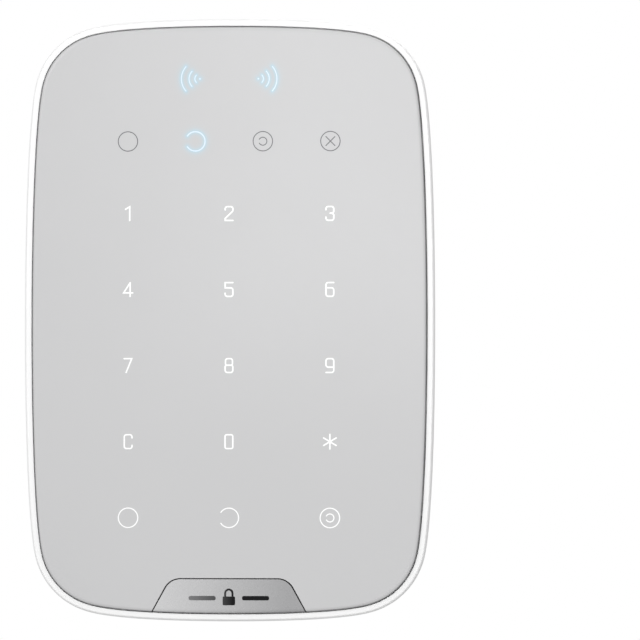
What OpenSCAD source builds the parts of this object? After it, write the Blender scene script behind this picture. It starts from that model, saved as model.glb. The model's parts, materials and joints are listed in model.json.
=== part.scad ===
// Wall-mounted touch keypad for an alarm system.
// It stands upright: +X is to the right, +Z is up and the front faces -Y. The origin is the centre
// of the bracket's back face, on the wall. Each sub-part is drawn lying on its back, so that the
// local Z is the distance from the wall, and is then stood up by upright(). Sizes are in millimetres.

/* [Case] */
// Width of the case at its widest line
case_w = 112.8; // [111:0.2:116]
// Height of the case at its widest line
case_h = 165.4; // [163:0.2:168]
// Distance from the wall to the front of the touch panel
case_d = 20; // [20:0.1:21]
// Smallest radius of the corners
corner_r = 20.4; // [18:0.2:23]
// Angle over which the bowed long sides tighten into the corners
side_angle = 2.3; // [2:0.1:2.8]
// Angle over which the bowed short sides tighten into the corners
end_angle = 3.2; // [2.8:0.1:3.6]

/* [Touch panel] */
// Width of the white rim that shows around the panel
rim_w = 2.1; // [1.6:0.1:2.2]
// Gap between the panel and the rim
panel_gap = 0.2; // [0.2:0.05:0.35]
// Thickness of the panel
panel_t = 2.2; // [2.2:0.1:2.4]

/* [Keys] */
// Distance between key columns
key_pitch_x = 27.6; // [26:0.1:28]
// Distance between key rows
key_pitch_y = 20.8; // [20:0.1:21]
// Height of the top row of numerals above the centre
key_top_y = 29; // [28:0.1:29.5]
// Width of the strokes of the symbols
stroke_w = 0.42; // [0.3:0.02:0.5]

/* [Power] */
// Diameter of a battery cell
cell_d = 10.5; // [10:0.1:10.5]
// Length of a battery cell with its terminal
cell_l = 44.5; // [43.5:0.1:44.5]

/* [Wall bracket] */
// Distance between the wall screw holes across
wall_hole_dx = 60; // [56:1:62]
// Distance between the wall screw holes up the wall
wall_hole_dy = 110; // [108:1:112]
// Diameter of the wall screw holes
wall_hole_d = 4.2; // [4:0.1:4.5]
// How far the keypad slides up to come off the bracket
release_travel = 7; // [6.5:0.1:7]

/* [Hidden] */
$fn = 48;

side_steps = 20;        // outline points in a quarter
bite = 1;               // how far a cut runs past the face that it opens
slack = 0.3;            // clearance of parts that slot together

// Depths from the wall, back to front
bracket_t = 1.8;
back_z = bracket_t + 0.4;
rear_wall_t = 1.8;
floor_z = back_z + rear_wall_t;
parting_z = 10;
widest_z = 12.5;
shoulder_z = 15.5;
rim_z = case_d - 1.3;
panel_back_z = case_d - panel_t;
film_t = 0.2;
ledge_top_z = panel_back_z - film_t;
ledge_t = 1.6;
board_front_z = ledge_top_z - ledge_t;
board_t = 1;
board_back_z = board_front_z - board_t;

// Case walls
taper_run = 13;         // depth over which the sides close in towards the wall
taper_w = 10;           // how far they would close in over all of that depth
rim_round_w = 0.9;
wall_t = 1.9;
ledge_w = 3.5;
lip_t = 1.1;
back_edge_r = 0.6;

// Panel edge
panel_inset = rim_w + panel_gap;
roll_w = 1.1;           // width of the rolled edge
roll_h = 1.1;           // drop of the rolled edge
window_t = 0.5;

// Places, as [x, y] seen from the front
SCREWS = [for (x = [-46, 46], y = [-54, 54]) [x, y], [-47.5, 0], [47.5, 0]];
POSTS = [for (s = [-1, 1], p = [[34, 14], [34, -14], [22, -66], [44, 45]]) [s * p.x, p.y]];
HOOKS = [for (x = [-38, 38], y = [-34, 34]) [x, y]];
WALL_HOLES = [for (x = [-1, 1], y = [-1, 1]) [x * wall_hole_dx / 2, y * wall_hole_dy / 2]];
tab_hole = [0, 48];
tamper_at = [0, 33];
power_at = [-22, 34];
buzzer_at = [0, -52];
coil_at = [0, 62];
bay_at = [0, -10];

// Hooks and the retaining screw
hook_w = 8;
hook_stem = 3;
hook_lip = 6;
hook_t = 1.5;
bracket_inset = 6;
lug_w = 11;
lug_t = 2;
lug_z = 9;
lug_y = -case_h / 2 + bracket_inset;
retainer_z = 6.2;
retainer_d = 2.9;
retainer_l = 7;

// Battery bay
cell_pitch = cell_d + 0.5;
bay_w = 4 * cell_pitch + 1;
bay_l = cell_l + 5.9;
bay_wall = 1.4;
cover_t = 1.6;
cell_z = back_z + cover_t + 0.15 + cell_d / 2;
plate_t = 0.4;
cover_w = bay_w + 4.6;
cover_low = bay_at.y - bay_l / 2 - 2.6;
cover_high = bay_at.y + bay_l / 2 + 9.6;
cover_at = [0, (cover_low + cover_high) / 2];
cover_l = cover_high - cover_low;
COVER_SCREWS = [for (s = [-1, 1]) [s * 19, cover_high - 4.3]];

// Screws that hold the case
case_screw_d = 2.3;
case_screw_seat = 6;
case_head_d = 5;

// Tamper plunger and power button
plunger_d = 4.8;
plunger_gap = 0.1;      // between the plunger's tip and the bracket's tab
flange_t = 1.2;
spring_wire = 0.5;
button_d = 7;
button_travel = 0.5;

// Symbol places
KEY_X = [-key_pitch_x, 0, key_pitch_x];
STATUS_Y = 48.8;
status_pitch = 18.5;
STATUS_X = [for (i = [-1.5, -0.5, 0.5, 1.5]) i * status_pitch];
READER = [8, 65.95];
ICON_R = 2.66;
INNER_R = 1.1;
icon_w = 0.32;          // strokes of the lit icons
line_w = 0.26;          // strokes of the unlit status symbols
ARM_Y = key_top_y - 4 * key_pitch_y;

// Badge at the foot of the panel
badge_top = -70.95;
badge_half_top = 15.95;
badge_half_foot = 22.9;
badge_foot = -83.5;
badge_corner_r = 4.7;
badge_gap = 0.3;

// ---------------------------------------------------------------- outline of the case
// The outline's radius of curvature is corner_r at the corners and grows steeply towards the
// middle of each side, as corner_r + side_gain * exp(-t / side_angle) + end_gain * exp(-(90 - t)
// / end_angle), where t is the angle of the normal. Its integrals have closed forms.
side_k = 180 / PI / side_angle;
end_k = 180 / PI / end_angle;
function sin_part(k, t) = (1 - exp(-k * t * PI / 180) * (k * sin(t) + cos(t))) / (k * k + 1);
function cos_part(k, t) = (k - exp(-k * t * PI / 180) * (k * cos(t) - sin(t))) / (k * k + 1);
half_w = case_w / 2 - corner_r;
half_h = case_h / 2 - corner_r;
gain_det = sin_part(side_k, 90) * sin_part(end_k, 90) - cos_part(end_k, 90) * cos_part(side_k, 90);
side_gain = (half_w * sin_part(end_k, 90) - half_h * cos_part(end_k, 90)) / gain_det;
end_gain = (half_h * sin_part(side_k, 90) - half_w * cos_part(side_k, 90)) / gain_det;
function edge_x(t) = case_w / 2 - corner_r * (1 - cos(t)) - side_gain * sin_part(side_k, t)
    - end_gain * (cos_part(end_k, 90) - cos_part(end_k, 90 - t));
function edge_y(t) = corner_r * sin(t) + side_gain * cos_part(side_k, t)
    + end_gain * (sin_part(end_k, 90) - sin_part(end_k, 90 - t));
function step_angle(i) = 45 * (1 - cos(180 * i / side_steps));
function quarter_point(q, t, inset) = [
    (q == 0 || q == 3 ? 1 : -1) * (edge_x(t) - inset * cos(t)),
    (q < 2 ? 1 : -1) * (edge_y(t) - inset * sin(t))
];
function outline(inset) = [
    for (q = [0:3], i = [0:side_steps - 1])
        quarter_point(q, step_angle(q % 2 == 0 ? i : side_steps - i), inset)
];

// How far the case's skin lies inside its widest line, at depth z
function skin(z) =
    z < widest_z ? taper_w * (1 - cos(asin((widest_z - z) / taper_run)))
    : z < shoulder_z ? 0
    : rim_round_w * (1 - cos(asin(min(1, (z - shoulder_z) / (rim_z - shoulder_z)))));

// ---------------------------------------------------------------- shapes
module upright() rotate([90, 0, 0]) children();

module plate(inset, z0, z1)
    translate([0, 0, z0]) linear_extrude(z1 - z0) polygon(outline(inset));

// A solid through rings of the outline, each given as [inset, z], back to front
module loft(rings) {
    n = 4 * side_steps;
    top = len(rings) - 1;
    points = [for (r = rings, p = outline(r[0])) [p.x, p.y, r[1]]];
    sides = [
        for (k = [0:top - 1], i = [0:n - 1], half = [0, 1])
            let (a = k * n + i, b = k * n + (i + 1) % n)
                half == 0 ? [a, a + n, b] : [b, a + n, b + n]
    ];
    caps = [[for (i = [0:n - 1]) i], [for (i = [n - 1:-1:0]) top * n + i]];
    polyhedron(points, concat(sides, caps));
}

module post(at, z0, z1, d) translate([at.x, at.y, z0]) cylinder(h = z1 - z0, d = d);

module block(at, size, z0, z1)
    translate([at.x - size.x / 2, at.y - size.y / 2, z0]) cube([size.x, size.y, z1 - z0]);

module soft_block(at, size, r, z0, z1)
    translate([at.x, at.y, z0]) linear_extrude(z1 - z0) polygon(rounded_box(size, r));

// ---------------------------------------------------------------- paths and strokes
function unit(v) = v / norm(v);
function turn(a) = a > 180 ? a - 360 : a < -180 ? a + 360 : a;
function arc(centre, r, from, to, steps) =
    [for (i = [0:steps]) centre + r * [cos(from + (to - from) * i / steps),
                                       sin(from + (to - from) * i / steps)]];

// The corner b between a and c, rounded with radius r
function fillet(a, b, c, r) =
    let (u = unit(a - b), v = unit(c - b), half = acos(u * v) / 2,
         centre = b + unit(u + v) * r / sin(half),
         p = b + u * r / tan(half) - centre, q = b + v * r / tan(half) - centre,
         from = atan2(p.y, p.x), sweep = turn(atan2(q.y, q.x) - from))
    arc(centre, r, from, from + sweep, 5);

// A path given as [x, y, corner radius], open or closed, with its corners rounded
function rounded(path, closed = false) =
    let (n = len(path), xy = [for (p = path) [p.x, p.y]])
    [for (i = [0:n - 1])
        let (end = !closed && (i == 0 || i == n - 1))
        each (end || path[i][2] == 0 ? [xy[i]]
            : fillet(xy[(i + n - 1) % n], xy[i], xy[(i + 1) % n], path[i][2]))];

function rounded_box(size, r) = rounded([
    for (s = [[1, 1], [-1, 1], [-1, -1], [1, -1]]) [s.x * size.x / 2, s.y * size.y / 2, r]
], closed = true);

function left_of(v) = [-v.y, v.x];

// The point at distance w to the left of path point i, mitred between its two segments
function beside(path, i, w, closed) =
    let (n = len(path),
         back = closed || i > 0 ? unit(path[i] - path[(i + n - 1) % n]) : undef,
         ahead = closed || i < n - 1 ? unit(path[(i + 1) % n] - path[i]) : undef,
         u = is_undef(back) ? ahead : back, v = is_undef(ahead) ? back : ahead)
    path[i] + (left_of(u) + left_of(v)) * w / (1 + u * v);

// The round end of a line of half width w that ends at a point, heading towards a direction
function cap_points(at, towards, w) =
    let (a = atan2(towards.y, towards.x) + 90)
    [for (i = [1:4]) at + w * [cos(a - 36 * i), sin(a - 36 * i)]];

// A line of width w along an open path, with round ends
module stroke(path, w) {
    n = len(path);
    polygon(concat(
        [for (i = [0:n - 1]) beside(path, i, w / 2, false)],
        cap_points(path[n - 1], path[n - 1] - path[n - 2], w / 2),
        [for (i = [n - 1:-1:0]) beside(path, i, -w / 2, false)],
        cap_points(path[0], path[0] - path[1], w / 2)
    ));
}

// A line of width w along a closed path that runs anticlockwise
module loop(path, w) difference() {
    polygon([for (i = [0:len(path) - 1]) beside(path, i, -w / 2, true)]);
    polygon([for (i = [0:len(path) - 1]) beside(path, i, w / 2, true)]);
}

module ring(r, w) difference() {
    circle(r + w / 2);
    circle(r - w / 2);
}

module arc_stroke(r, from, to, w) stroke(arc([0, 0], r, from, to, 20), w);

// A wire of diameter d wound in a helix about the local Z, from radius r0 to r1 over height h
module coil_spring(r0, r1, h, turns, d) {
    sides = 6;
    rings = turns * 10;
    points = [
        for (i = [0:rings], k = [0:sides - 1])
            let (f = i / rings, a = 360 * turns * f, r = r0 + (r1 - r0) * f,
                 b = 360 * k / sides)
            [(r + d / 2 * cos(b)) * cos(a), (r + d / 2 * cos(b)) * sin(a),
             d / 2 + (h - d) * f + d / 2 * sin(b)]
    ];
    faces = [
        for (i = [0:rings - 1], k = [0:sides - 1], half = [0, 1])
            let (a = i * sides + k, b = i * sides + (k + 1) % sides)
                half == 0 ? [a, a + sides, b] : [b, a + sides, b + sides]
    ];
    polyhedron(points, concat(faces, [[for (k = [0:sides - 1]) k]],
                              [[for (k = [sides - 1:-1:0]) rings * sides + k]]));
}

// ---------------------------------------------------------------- symbols
// Numerals and key marks are strokes about the key's centre. Their centre lines reach across and
// up to these distances, and their round corners have the radius soft.
across = 1.06;
up = 1.89;
soft = 0.6;

module glyph(name) {
    if (name == "1") {
        stroke([[-0.8, 1.2], [0.36, up], [0.36, -up]], stroke_w);
    } else if (name == "2") {
        stroke(rounded([
            [-across, 1, 0], [-across, up, soft], [across, up, soft], [across, 0.7, 0.7],
            [-across, -1.35, 0], [-across, -up, 0], [across, -up, 0]
        ]), stroke_w);
    } else if (name == "3") {
        stroke(rounded([
            [-across, 1, 0], [-across, up, soft], [across, up, soft], [across, 0.46, 0],
            [0.62, 0.06, 0], [across, -0.34, 0], [across, -up, soft], [-across, -up, soft],
            [-across, -1, 0]
        ]), stroke_w);
        stroke([[0.05, 0.06], [0.62, 0.06]], stroke_w);
    } else if (name == "4") {
        stroke([[0.5, up], [-1.28, -0.9], [1.22, -0.9]], stroke_w);
        stroke([[0.5, up], [0.5, -up]], stroke_w);
    } else if (name == "5") {
        stroke(rounded([
            [across, up, 0], [-across, up, 0], [-across, 0.45, 0], [across, 0.45, soft],
            [across, -up, soft], [-across, -up, soft], [-across, -1, 0]
        ]), stroke_w);
    } else if (name == "6") {
        loop(rounded([
            [-across, -up, soft], [across, -up, soft], [across, 0.45, soft], [-across, 0.45, 0]
        ], closed = true), stroke_w);
        stroke(rounded([[-across, 0.45, 0], [-across, up, soft], [across, up, 0]]), stroke_w);
    } else if (name == "9") {
        rotate(180) glyph("6");
    } else if (name == "7") {
        stroke([[-1.14, up], [0.96, up], [-0.58, -up]], stroke_w);
    } else if (name == "8") {
        loop(rounded([
            [-across, -up, soft], [across, -up, soft], [across, 0.1, 0.5], [-across, 0.1, 0.5]
        ], closed = true), stroke_w);
        loop(rounded([
            [0.1 - across, 0.1, 0.4], [across - 0.1, 0.1, 0.4], [across - 0.1, up, soft],
            [0.1 - across, up, soft]
        ], closed = true), stroke_w);
    } else if (name == "0") {
        loop(rounded_box([2 * across, 2 * up], 0.45), stroke_w);
    } else if (name == "C") {
        stroke(rounded([
            [across, 1, 0], [across, up, soft], [-across, up, soft], [-across, -up, soft],
            [across, -up, soft], [across, -1, 0]
        ]), stroke_w);
    } else if (name == "*") {
        for (a = [90, 31, -31]) rotate(a) stroke([[-2, 0], [2, 0]], stroke_w);
    }
}

KEYS = [["1", "2", "3"], ["4", "5", "6"], ["7", "8", "9"], ["C", "0", "*"]];

module numerals_2d()
    for (row = [0:3], column = [0:2])
        translate([KEY_X[column], key_top_y - row * key_pitch_y]) glyph(KEYS[row][column]);

open_from = -146;       // the open ring leaves a gap on its left
module arming_keys_2d() {
    translate([KEY_X[0], ARM_Y]) ring(ICON_R, icon_w);
    translate([KEY_X[1], ARM_Y]) arc_stroke(ICON_R, open_from, -open_from, icon_w);
    translate([KEY_X[2], ARM_Y]) {
        ring(ICON_R, icon_w);
        arc_stroke(INNER_R, -150, 150, icon_w);
    }
}

module status_2d() {
    for (i = [0, 2, 3]) translate([STATUS_X[i], STATUS_Y]) ring(ICON_R, line_w);
    translate([STATUS_X[2], STATUS_Y]) arc_stroke(INNER_R, -150, 150, line_w);
    translate([STATUS_X[3], STATUS_Y])
        for (a = [45, -45]) rotate(a) stroke([[-1.75, 0], [1.75, 0]], line_w);
}

module lit_status_2d()
    translate([STATUS_X[1], STATUS_Y]) arc_stroke(ICON_R, open_from, -open_from, icon_w);

// Three arcs and a dot on each side: the radius, half angle and width of each arc
WAVES = [[5.1, 41, 0.28], [3, 43, 0.26], [1.4, 45, 0.24]];
module reader_2d()
    for (s = [0, 1]) mirror([s, 0]) translate(READER) {
        for (w = WAVES) arc_stroke(w[0], -w[1], w[1], w[2]);
        circle(0.22);
    }

module merged() offset(delta = 0) children();
module symbol_inlay()
    translate([0, 0, case_d - window_t]) linear_extrude(window_t) merged() children();
module symbol_pocket()
    translate([0, 0, case_d - window_t]) linear_extrude(window_t + bite) merged() children();

// ---------------------------------------------------------------- badge
function badge_outline(grow) = rounded([
    [-badge_half_foot - grow, badge_foot, 0], [badge_half_foot + grow, badge_foot, 0],
    [badge_half_top + grow, badge_top + grow, badge_corner_r + grow],
    [-badge_half_top - grow, badge_top + grow, badge_corner_r + grow]
], closed = true);

module badge_prism(grow)
    translate([0, 0, panel_back_z - bite]) linear_extrude(panel_t + 2 * bite)
        polygon(badge_outline(grow));

// A plain padlock between two bars
mark_y = -75.9;
module badge_mark_2d() translate([0, mark_y]) {
    translate([0, -0.95]) polygon(rounded_box([3.4, 2.4], 0.3));
    stroke(concat([[-1, 0.1]], arc([0, 1.15], 1, 180, 0, 10), [[1, 0.1]]), 0.55);
    for (s = [-1, 1]) translate([s * 7.3, -0.2]) polygon(rounded_box([7.4, 1.2], 0.5));
}

// ---------------------------------------------------------------- bracket
module bracket_hook(at) {
    foot = at.y - hook_stem / 2;
    block(at, [hook_w, hook_stem], bracket_t - bite, floor_z + 0.1 + hook_t);
    block([at.x, foot + (hook_stem + hook_lip) / 2], [hook_w, hook_stem + hook_lip],
          floor_z + 0.1, floor_z + 0.1 + hook_t);
}

// A screw hole with its countersink towards the keypad
module wall_hole(at) {
    post(at, -bite, bracket_t + bite, wall_hole_d);
    translate([at.x, at.y, bracket_t - 1.1])
        cylinder(h = 1.1 + 0.01, d1 = wall_hole_d, d2 = wall_hole_d + 3.2);
}

// Shallow places in the back for pads of adhesive tape, each given as its centre and its size
TAPE_PADS = [[[-40, -8], [11, 44]], [[40, -8], [11, 44]], [[0, -60], [40, 12]], [[0, 66], [44, 9]]];
tape_recess = 0.5;

// Slots that leave the tab hanging on four thin bridges, so that it breaks away
module breakaway_slots() difference() {
    soft_block([0, 41], [20, 28], 6, -bite, bracket_t + bite);
    soft_block([0, 41], [17.6, 25.6], 4.8, -2 * bite, bracket_t + 2 * bite);
    for (y = [33, 49]) block([0, y], [30, 1.6], -2 * bite, bracket_t + 2 * bite);
}

module wall_bracket() color("whitesmoke") upright() difference() {
    union() {
        plate(bracket_inset, 0, bracket_t);
        for (h = HOOKS) bracket_hook(h);
        block([0, lug_y + lug_t / 2 + 0.1], [lug_w, lug_t], 0.2, lug_z);
    }
    for (h = concat(WALL_HOLES, [tab_hole])) wall_hole(h);
    breakaway_slots();
    for (t = TAPE_PADS) soft_block(t[0], t[1], 2, -bite, tape_recess);
    translate([0, lug_y - bite, retainer_z]) rotate([-90, 0, 0])
        cylinder(h = lug_t + 2 * bite, d = retainer_d + 0.5);
    for (s = [-1, 1]) soft_block([s * 17, -8], [22, 56], 4, -bite, bracket_t + bite);
}

module retaining_screw() color("silver") upright()
    translate([0, lug_y + 0.1, retainer_z]) rotate([-90, 0, 0]) difference() {
        union() {
            cylinder(h = retainer_l, d = retainer_d);
            translate([0, 0, -2]) cylinder(h = 2, d = 5.6);
        }
        for (a = [0, 90]) rotate(a) translate([-1.6, -0.35, -2 - bite]) cube([3.2, 0.7, bite + 1.1]);
    }

// ---------------------------------------------------------------- rear shell
function skin_rings(from, to, steps) = [for (i = [0:steps])
    let (z = from + (to - from) * i / steps) [skin(z), z]];

notch_w = lug_w + 1;
notch_top = lug_y + lug_t + 0.4;
notch_z = lug_z + 0.4;

module rear_shell_solid() {
    difference() {
        loft(concat([[skin(back_z + back_edge_r) + back_edge_r, back_z]],
                    skin_rings(back_z + back_edge_r, parting_z, 6)));
        loft([for (r = skin_rings(floor_z, parting_z + bite, 4)) [r[0] + wall_t, r[1]]]);
    }
    difference() {
        plate(wall_t + 0.1, parting_z - 1.4, parting_z + 1.2);
        plate(wall_t + 0.1 + lip_t, parting_z - 2, parting_z + 2);
    }
    block(cover_at, [cover_w + 3.6, cover_l + 3.6], floor_z - 0.5, floor_z + 1.2);
    block(bay_at, [bay_w + 2 * bay_wall, bay_l + 2 * bay_wall], floor_z, board_back_z - 0.6);
    for (p = COVER_SCREWS) post(p, floor_z, floor_z + 5, 6);
    for (p = SCREWS) post(p, floor_z - 0.5, parting_z, 7);
    for (p = POSTS) post(p, floor_z - 0.5, board_back_z, 4);
    post(tamper_at, floor_z - 0.5, floor_z + 0.8, plunger_d + 3.4);
    post(power_at, floor_z - 0.5, floor_z + 0.8, button_d + 3);
    difference() {
        post(buzzer_at, floor_z - 0.5, floor_z + 2, 19.6);
        post(buzzer_at, floor_z, floor_z + 3, 17.4);
    }
    block([0, (notch_top + lug_y - 1.5) / 2], [notch_w + 3.2, notch_top - lug_y + 3.5],
          floor_z - 0.5, notch_z + 1.4);
    block([0, notch_top + 3], [7, 5.5], floor_z - 0.5, retainer_z + 3.6);
}

module case_screw_cut(at) {
    post(at, back_z - bite, case_screw_seat, case_head_d + 0.5);
    post(at, back_z - bite, parting_z + bite, case_screw_d + 0.7);
}

// The way that a hook needs through the rear wall, from its seat to its release
module hook_slot(at) {
    high = at.y + hook_stem / 2 + 0.05;
    low = at.y - hook_stem / 2 - release_travel - slack;
    block([at.x, (high + low) / 2], [hook_w + 1, high - low], back_z - bite, floor_z + bite);
}

// A shallow channel in the back that the head of a wall screw runs along
module head_channel(at)
    soft_block([at.x, at.y - release_travel / 2], [9, release_travel + 9], 4,
               back_z - bite, back_z + 0.8);

module rear_shell() color("white") upright() difference() {
    rear_shell_solid();
    soft_block(cover_at, [cover_w, cover_l], 2, back_z - bite, back_z + cover_t);
    block(bay_at, [bay_w, bay_l], back_z, board_back_z);
    for (s = [-1, 1]) block([s * 12, cover_low - 0.8], [6.6, 2.2], back_z + 0.7, back_z + cover_t + 0.1);
    for (p = COVER_SCREWS) post(p, back_z, floor_z + 4, 2.2);
    for (p = SCREWS) case_screw_cut(p);
    for (h = HOOKS) hook_slot(h);
    for (h = concat(WALL_HOLES, [tab_hole])) head_channel(h);
    post(tamper_at, back_z - bite, floor_z + 2, plunger_d + 0.4);
    post(power_at, back_z - bite, floor_z + 2, button_d + 0.4);
    for (a = [0:60:300]) post(buzzer_at + 4 * [cos(a), sin(a)], back_z - bite, floor_z + bite, 1.4);
    post(buzzer_at, back_z - bite, floor_z + bite, 1.4);
    block([0, notch_top - 10], [notch_w, 20], back_z - bite, notch_z);
    translate([0, notch_top - bite, retainer_z]) rotate([-90, 0, 0])
        cylinder(h = 5 + bite, d = retainer_d + 0.1);
}

// ---------------------------------------------------------------- front frame and panel
module front_frame() color("white") upright() difference() {
    union() {
        difference() {
            loft(concat(skin_rings(parting_z, widest_z, 2), [for (a = [0:15:90])
                let (z = shoulder_z + (rim_z - shoulder_z) * sin(a)) [skin(z), z]]));
            plate(wall_t, parting_z - bite, board_front_z);
            plate(wall_t + ledge_w, parting_z - bite, rim_z + bite);
            plate(rim_w, ledge_top_z, rim_z + bite);
        }
        for (p = SCREWS) {
            post(p, parting_z, board_front_z, 6.5);
            block([p.x + sign(p.x) * 3.8, p.y], [7.6, 2], parting_z + 1.5, board_back_z - 0.2);
        }
    }
    for (p = SCREWS) post(p, parting_z - bite, board_front_z - 1, case_screw_d + 0.1);
}

module panel_blank() loft(concat([[panel_inset, panel_back_z]], [for (a = [0:15:90])
    [panel_inset + roll_w * (1 - cos(a)), case_d - roll_h * (1 - sin(a))]]));

module touch_panel() color([0.83, 0.83, 0.84]) upright() difference() {
    panel_blank();
    badge_prism(badge_gap);
    symbol_pocket() numerals_2d();
    symbol_pocket() arming_keys_2d();
    symbol_pocket() status_2d();
    symbol_pocket() lit_status_2d();
    symbol_pocket() reader_2d();
}

module badge_plate() color([0.75, 0.75, 0.76]) upright() difference() {
    intersection() {
        panel_blank();
        badge_prism(0);
    }
    translate([0, 0, case_d - 0.2]) linear_extrude(bite) badge_mark_2d();
}

module badge_mark() color([0.12, 0.12, 0.13]) upright()
    translate([0, 0, case_d - 0.2]) linear_extrude(0.2) badge_mark_2d();

module numeral_windows() color("white") upright() symbol_inlay() numerals_2d();
module arming_key_windows() color("white") upright() symbol_inlay() arming_keys_2d();
module status_windows() color("gray") upright() symbol_inlay() status_2d();
module lit_status_window() color("lightcyan") upright() symbol_inlay() lit_status_2d();
module reader_windows() color("lightcyan") upright() symbol_inlay() reader_2d();

// A ring of dark foam tape that holds the panel and closes the gap around it
module panel_adhesive() color("dimgray") upright() difference() {
    plate(rim_w + 0.05, ledge_top_z, panel_back_z);
    plate(wall_t + ledge_w - 0.1, ledge_top_z - bite, panel_back_z + bite);
}

// ---------------------------------------------------------------- light guide and boards
SYMBOL_CELLS = concat(
    [for (x = KEY_X, row = [0:4]) [x, key_top_y - row * key_pitch_y]],
    [for (x = STATUS_X) [x, STATUS_Y]],
    [for (s = [-1, 1]) [s * (READER.x + 3), READER.y]]
);
stack_inset = wall_t + ledge_w + 0.3;

module touch_film() color("dimgray") upright() plate(stack_inset, ledge_top_z, panel_back_z);

module light_frame() color("ivory") upright() difference() {
    plate(stack_inset, board_front_z, ledge_top_z);
    for (p = SYMBOL_CELLS) post(p, board_front_z - bite, ledge_top_z + bite, 8.6);
}

module key_board() color("darkgreen") upright() difference() {
    plate(wall_t + 1.2, board_back_z, board_front_z);
    for (p = SCREWS) post(p, board_back_z - bite, board_front_z + bite, 7.2);
}

module leds(places) for (p = places) block(p, [3.2, 1.6], board_front_z, board_front_z + 0.6);
module key_leds() color("lightyellow") upright() leds([for (i = [0:14]) SYMBOL_CELLS[i]]);
module status_leds() color("lightblue") upright() leds([for (i = [15:20]) SYMBOL_CELLS[i]]);

// Three turns of a flat coil on the back of the board
module reader_coil() color("orange") upright()
    for (i = [0:2]) let (w = 70 - 3 * i, h = 24 - 3 * i) difference() {
        soft_block(coil_at, [w, h], 5 - i, board_back_z - 0.3, board_back_z);
        soft_block(coil_at, [w - 1.6, h - 1.6], 4.2 - i, board_back_z - bite, board_back_z + bite);
    }

module ferrite_sheet() color("dimgray") upright()
    block(coil_at, [72, 25], board_back_z - 0.7, board_back_z - 0.3);

module chip(at, size, t) block(at, size, board_back_z - t, board_back_z);
module controller_chip() color("black") upright() chip([18, 39], [10, 10], 1.2);
module touch_chips() color("black") upright() for (x = [21, 33]) chip([x, -50], [7, 7], 0.9);
module radio_module() color("silver") upright() chip([-25, -54], [15, 18], 2.4);
module board_passives() color("tan") upright()
    for (i = [0:4], j = [0, 1]) chip([26 + 2.6 * i, 45 - 3 * j], [1.6, 0.8], 0.7);
module radio_antenna() color("gold") upright() {
    block([0, 77.2], [56, 0.4], board_back_z - 3.2, board_back_z);
    block([-26, 76], [4, 2], board_back_z - 0.4, board_back_z);
}

module buzzer() color("black") upright() difference() {
    post(buzzer_at, floor_z, floor_z + 3.6, 17);
    post(buzzer_at, floor_z - bite, floor_z + 1.4, 6);
}

// ---------------------------------------------------------------- batteries
function cell_x(i) = bay_at.x + (i - 1.5) * cell_pitch;
function cell_side(i) = i % 2 == 0 ? 1 : -1;    // the end at which its terminal is
bay_half = bay_l / 2;

// Stands a shape that runs along the local Z at one end of the bay, pointing to the other end
module at_bay_end(i, side) translate([cell_x(i), bay_at.y + side * (bay_half - plate_t), cell_z])
    rotate([90 * side, 0, 0]) children();

module battery_cells() color("goldenrod") upright() for (i = [0:3]) at_bay_end(i, cell_side(i)) {
    cylinder(h = 1.2, d = 3.8);
    translate([0, 0, 0.9]) cylinder(h = cell_l - 0.9, d = cell_d);
}

module battery_springs() color("silver") upright()
    for (i = [0:3]) at_bay_end(i, -cell_side(i))
        coil_spring(3.4, 2, bay_l - 2 * plate_t - cell_l, 3, spring_wire);

// Pairs of cells that each plate joins, at the top and at the bottom
module contact_plates() color("silver") upright() {
    for (i = [0.5, 2.5]) block([cell_x(i), bay_at.y + bay_half - plate_t / 2],
                               [cell_pitch + 8, plate_t], cell_z - 4, cell_z + 4);
    for (i = [0, 1.5, 3]) block([cell_x(i), bay_at.y - bay_half + plate_t / 2],
                                [i == 1.5 ? cell_pitch + 8 : 8, plate_t], cell_z - 4, cell_z + 4);
}

module battery_insulator() color("gainsboro") upright()
    block(bay_at, [bay_w + 2, bay_l + 2], board_back_z - 0.5, board_back_z - 0.1);

module battery_cover() color("white") upright() difference() {
    union() {
        soft_block(cover_at, [cover_w - 0.4, cover_l - 0.4], 1.8, back_z, back_z + cover_t);
        for (s = [-1, 1]) block([s * 12, cover_low - 0.4], [6, 1.8], back_z + 0.9, back_z + cover_t);
    }
    for (p = COVER_SCREWS) {
        post(p, back_z - bite, back_z + cover_t + bite, 2.6);
        post(p, back_z - bite, back_z + 0.9, 4.8);
    }
    for (i = [-2:2]) block([i * 4, cover_low + 8], [1.6, 8], back_z - bite, back_z + 0.4);
}

module screw(at, seat, head_t, head_d, shank_l, shank_d) difference() {
    union() {
        post(at, seat - head_t, seat, head_d);
        post(at, seat, seat + shank_l, shank_d);
    }
    for (size = [[head_d * 0.55, 0.5], [0.5, head_d * 0.55]])
        block(at, size, seat - head_t - bite, seat - head_t * 0.4);
}

module battery_cover_screws() color("silver") upright()
    for (p = COVER_SCREWS) screw(p, back_z + 0.9, 0.8, 4.4, 4.6, 2.1);

module case_screws() color("silver") upright()
    for (p = SCREWS) screw(p, case_screw_seat, 1.8, case_head_d, 8.6, case_screw_d);

// ---------------------------------------------------------------- plunger, button and switches
plunger_tip_z = bracket_t + plunger_gap;
flange_z = floor_z + 0.8 + 1.2;
tamper_switch_z = board_back_z - 3.2;

module tamper_plunger() color("ivory") upright() {
    post(tamper_at, plunger_tip_z, flange_z + flange_t, plunger_d);
    post(tamper_at, flange_z, flange_z + flange_t, plunger_d + 3);
    post(tamper_at, flange_z + flange_t, flange_z + flange_t + 2.4, 2.4);
}

module tamper_spring() color("silver") upright()
    translate([tamper_at.x, tamper_at.y, flange_z + flange_t])
        coil_spring(2.1, 2.1, tamper_switch_z - flange_z - flange_t, 4, spring_wire);

module tamper_switch() color("black") upright()
    block(tamper_at, [8, 6], tamper_switch_z, board_back_z);

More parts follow.
